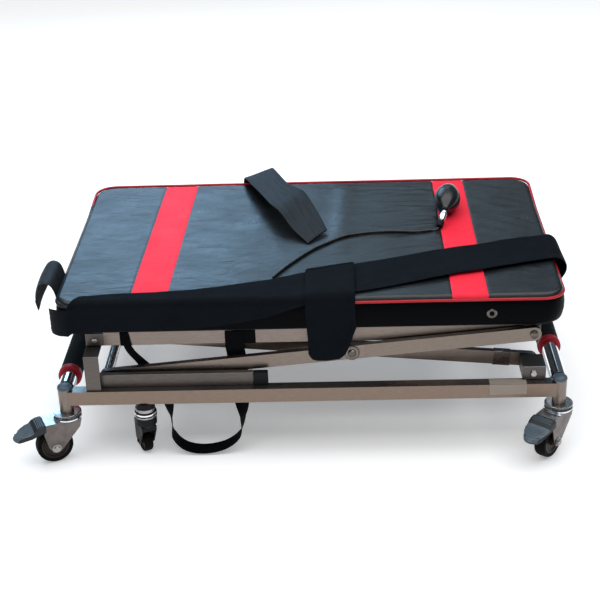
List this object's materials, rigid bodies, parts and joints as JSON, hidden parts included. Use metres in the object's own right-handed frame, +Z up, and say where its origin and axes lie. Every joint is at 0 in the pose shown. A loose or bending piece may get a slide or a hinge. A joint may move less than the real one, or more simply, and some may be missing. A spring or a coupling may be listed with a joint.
{
  "type": "stretcher trolley",
  "caption": "Low scissor-lift stretcher trolley with a padded deck, restraint straps, foam end grips and braked swivel casters.",
  "frame": {"origin": "centre of the footprint on the floor", "axes": "+X along the bed towards its fixed-pivot end, +Y across the bed towards the side without the hanging loop, +Z up"},
  "size_m": [1.2112, 0.8466, 0.3965],
  "materials": {
    "air_hose": "satin",
    "air_valve": "polished",
    "base_end_tube_left": "polished",
    "base_end_tube_right": "polished",
    "base_pivot_block_front": "satin silver",
    "base_pivot_block_rear": "satin silver",
    "base_side_tube_front": "satin silver",
    "base_side_tube_rear": "satin silver",
    "brake_pedal_fl": "satin grey",
    "brake_pedal_fr": "satin grey",
    "brake_pedal_rl": "satin grey",
    "brake_pedal_rr": "satin grey",
    "caster_fork_fl": "bright zinc",
    "caster_fork_fr": "bright zinc",
    "caster_fork_rl": "bright zinc",
    "caster_fork_rr": "bright zinc",
    "caster_wheel_fl": "matt",
    "caster_wheel_fr": "matt",
    "caster_wheel_rl": "matt",
    "caster_wheel_rr": "matt",
    "corner_post_fl": "satin silver",
    "corner_post_fr": "satin silver",
    "corner_post_rl": "satin silver",
    "corner_post_rr": "satin silver",
    "cross_strap_front": "woven webbing",
    "cross_strap_rear": "woven webbing",
    "deck_board": "matt black",
    "deck_pivot_bolt_front": "bright zinc",
    "deck_pivot_bolt_rear": "bright zinc",
    "deck_rest_bracket_front": "satin silver",
    "deck_rest_bracket_rear": "satin silver",
    "deck_side_channel_front": "satin silver",
    "deck_side_channel_rear": "satin silver",
    "end_strap_left": "woven webbing",
    "foam_grip_left": "matt foam",
    "foam_grip_right": "matt foam",
    "hand_bulb": "satin",
    "hanging_webbing_loop": "woven webbing",
    "inner_leg_front": "satin silver",
    "inner_leg_rear": "satin silver",
    "long_strap": "woven webbing",
    "lower_roller_axle": "bright zinc",
    "mattress": "satin vinyl, black with red stripes and piping",
    "outer_leg_front": "satin silver",
    "outer_leg_rear": "satin silver",
    "post_cap_fl": "satin dark grey",
    "post_cap_fr": "satin dark grey",
    "post_cap_rl": "satin dark grey",
    "post_cap_rr": "satin dark grey",
    "scissor_pivot_bolt_front": "bright zinc",
    "scissor_pivot_bolt_rear": "bright zinc",
    "slide_rail_front": "satin silver",
    "slide_rail_rear": "satin silver",
    "slide_rail_stop_front": "matt black",
    "slide_rail_stop_rear": "matt black",
    "support_caster_fork_front": "matt black",
    "support_caster_fork_rear": "matt black",
    "support_caster_wheel_front": "matt",
    "support_caster_wheel_rear": "matt",
    "upper_roller_axle": "bright zinc"
  },
  "bodies": {
    "base": {"base_side_tube_front": "base_side_tube_front", "base_side_tube_rear": "base_side_tube_rear", "base_end_tube_left": "base_end_tube_left", "base_end_tube_right": "base_end_tube_right", "foam_grip_left": "foam_grip_left", "foam_grip_right": "foam_grip_right", "corner_post_fl": "corner_post_fl", "corner_post_fr": "corner_post_fr", "corner_post_rl": "corner_post_rl", "corner_post_rr": "corner_post_rr", "post_cap_fl": "post_cap_fl", "post_cap_fr": "post_cap_fr", "post_cap_rl": "post_cap_rl", "post_cap_rr": "post_cap_rr", "slide_rail_front": "slide_rail_front", "slide_rail_rear": "slide_rail_rear", "slide_rail_stop_front": "slide_rail_stop_front", "slide_rail_stop_rear": "slide_rail_stop_rear", "deck_rest_bracket_front": "deck_rest_bracket_front", "deck_rest_bracket_rear": "deck_rest_bracket_rear", "base_pivot_block_front": "base_pivot_block_front", "base_pivot_block_rear": "base_pivot_block_rear"},
    "inner_legs": {"inner_leg_front": "inner_leg_front", "inner_leg_rear": "inner_leg_rear", "upper_roller_axle": "upper_roller_axle", "scissor_pivot_bolt_front": "scissor_pivot_bolt_front", "scissor_pivot_bolt_rear": "scissor_pivot_bolt_rear"},
    "outer_legs": {"outer_leg_front": "outer_leg_front", "outer_leg_rear": "outer_leg_rear", "lower_roller_axle": "lower_roller_axle"},
    "deck": {"deck_side_channel_front": "deck_side_channel_front", "deck_side_channel_rear": "deck_side_channel_rear", "deck_pivot_bolt_front": "deck_pivot_bolt_front", "deck_pivot_bolt_rear": "deck_pivot_bolt_rear", "deck_board": "deck_board", "mattress": "mattress", "long_strap": "long_strap", "cross_strap_front": "cross_strap_front", "cross_strap_rear": "cross_strap_rear", "end_strap_left": "end_strap_left", "hanging_webbing_loop": "hanging_webbing_loop", "hand_bulb": "hand_bulb", "air_valve": "air_valve", "air_hose": "air_hose"},
    "swivel_fl": {"caster_fork_fl": "caster_fork_fl"},
    "wheel_fl": {"caster_wheel_fl": "caster_wheel_fl"},
    "pedal_fl": {"brake_pedal_fl": "brake_pedal_fl"},
    "swivel_fr": {"caster_fork_fr": "caster_fork_fr"},
    "wheel_fr": {"caster_wheel_fr": "caster_wheel_fr"},
    "pedal_fr": {"brake_pedal_fr": "brake_pedal_fr"},
    "swivel_rl": {"caster_fork_rl": "caster_fork_rl"},
    "wheel_rl": {"caster_wheel_rl": "caster_wheel_rl"},
    "pedal_rl": {"brake_pedal_rl": "brake_pedal_rl"},
    "swivel_rr": {"caster_fork_rr": "caster_fork_rr"},
    "wheel_rr": {"caster_wheel_rr": "caster_wheel_rr"},
    "pedal_rr": {"brake_pedal_rr": "brake_pedal_rr"},
    "support_swivel_front": {"support_caster_fork_front": "support_caster_fork_front"},
    "support_wheel_front": {"support_caster_wheel_front": "support_caster_wheel_front"},
    "support_swivel_rear": {"support_caster_fork_rear": "support_caster_fork_rear"},
    "support_wheel_rear": {"support_caster_wheel_rear": "support_caster_wheel_rear"}
  },
  "joints": [
    {"name": "lift", "type": "hinge", "parent": "base", "child": "inner_legs", "pos_m": [0.442, 0, 0.169], "axis": [0, 1, 0], "range_deg": [0, 42.5], "deforming": ["hanging_webbing_loop"]},
    {"name": "scissor", "type": "hinge", "parent": "inner_legs", "child": "outer_legs", "pos_m": [0.016, 0, 0.208], "axis": [0, 1, 0], "range_deg": [-85, 0]},
    {"name": "deck_level", "type": "hinge", "parent": "outer_legs", "child": "deck", "pos_m": [0.442, 0, 0.247], "axis": [0, 1, 0], "range_deg": [0, 42.5]},
    {"name": "swivel_fl", "type": "hinge", "parent": "base", "child": "swivel_fl", "pos_m": [-0.4935, -0.3225, 0.106], "axis": [0, 0, 1], "continuous": true},
    {"name": "roll_fl", "type": "hinge", "parent": "swivel_fl", "child": "wheel_fl", "pos_m": [-0.52456, -0.33633, 0.0375], "axis": [0.4067, -0.9135, 0], "continuous": true},
    {"name": "brake_fl", "type": "hinge", "parent": "swivel_fl", "child": "pedal_fl", "pos_m": [-0.54329, -0.34467, 0.0865], "axis": [0.4067, -0.9135, 0], "range_deg": [0, 8]},
    {"name": "swivel_fr", "type": "hinge", "parent": "base", "child": "swivel_fr", "pos_m": [0.4935, -0.3225, 0.106], "axis": [0, 0, 1], "continuous": true},
    {"name": "roll_fr", "type": "hinge", "parent": "swivel_fr", "child": "wheel_fr", "pos_m": [0.47257, -0.34929, 0.0375], "axis": [0.788, -0.6157, 0], "continuous": true},
    {"name": "brake_fr", "type": "hinge", "parent": "swivel_fr", "child": "pedal_fr", "pos_m": [0.45995, -0.36545, 0.0865], "axis": [0.788, -0.6157, 0], "range_deg": [0, 8]},
    {"name": "swivel_rl", "type": "hinge", "parent": "base", "child": "swivel_rl", "pos_m": [-0.4935, 0.3225, 0.106], "axis": [0, 0, 1], "continuous": true},
    {"name": "roll_rl", "type": "hinge", "parent": "swivel_rl", "child": "wheel_rl", "pos_m": [-0.47257, 0.34929, 0.0375], "axis": [-0.788, 0.6157, 0], "continuous": true},
    {"name": "brake_rl", "type": "hinge", "parent": "swivel_rl", "child": "pedal_rl", "pos_m": [-0.45995, 0.36545, 0.0865], "axis": [-0.788, 0.6157, 0], "range_deg": [0, 8]},
    {"name": "swivel_rr", "type": "hinge", "parent": "base", "child": "swivel_rr", "pos_m": [0.4935, 0.3225, 0.106], "axis": [0, 0, 1], "continuous": true},
    {"name": "roll_rr", "type": "hinge", "parent": "swivel_rr", "child": "wheel_rr", "pos_m": [0.52456, 0.33633, 0.0375], "axis": [-0.4067, 0.9135, 0], "continuous": true},
    {"name": "brake_rr", "type": "hinge", "parent": "swivel_rr", "child": "pedal_rr", "pos_m": [0.54329, 0.34467, 0.0865], "axis": [-0.4067, 0.9135, 0], "range_deg": [0, 8]},
    {"name": "support_swivel_front", "type": "hinge", "parent": "base", "child": "support_swivel_front", "pos_m": [-0.335, -0.3225, 0.124], "axis": [0, 0, 1], "continuous": true},
    {"name": "support_roll_front", "type": "hinge", "parent": "support_swivel_front", "child": "support_wheel_front", "pos_m": [-0.34345, -0.30437, 0.025], "axis": [-0.9063, -0.4226, 0], "continuous": true},
    {"name": "support_swivel_rear", "type": "hinge", "parent": "base", "child": "support_swivel_rear", "pos_m": [-0.335, 0.3225, 0.124], "axis": [0, 0, 1], "continuous": true},
    {"name": "support_roll_rear", "type": "hinge", "parent": "support_swivel_rear", "child": "support_wheel_rear", "pos_m": [-0.32655, 0.30437, 0.025], "axis": [0.9063, 0.4226, 0], "continuous": true}
  ],
  "couplings": [
    {"joint": "scissor", "follows": "lift", "ratio": -2},
    {"joint": "deck_level", "follows": "lift", "ratio": 1}
  ]
}
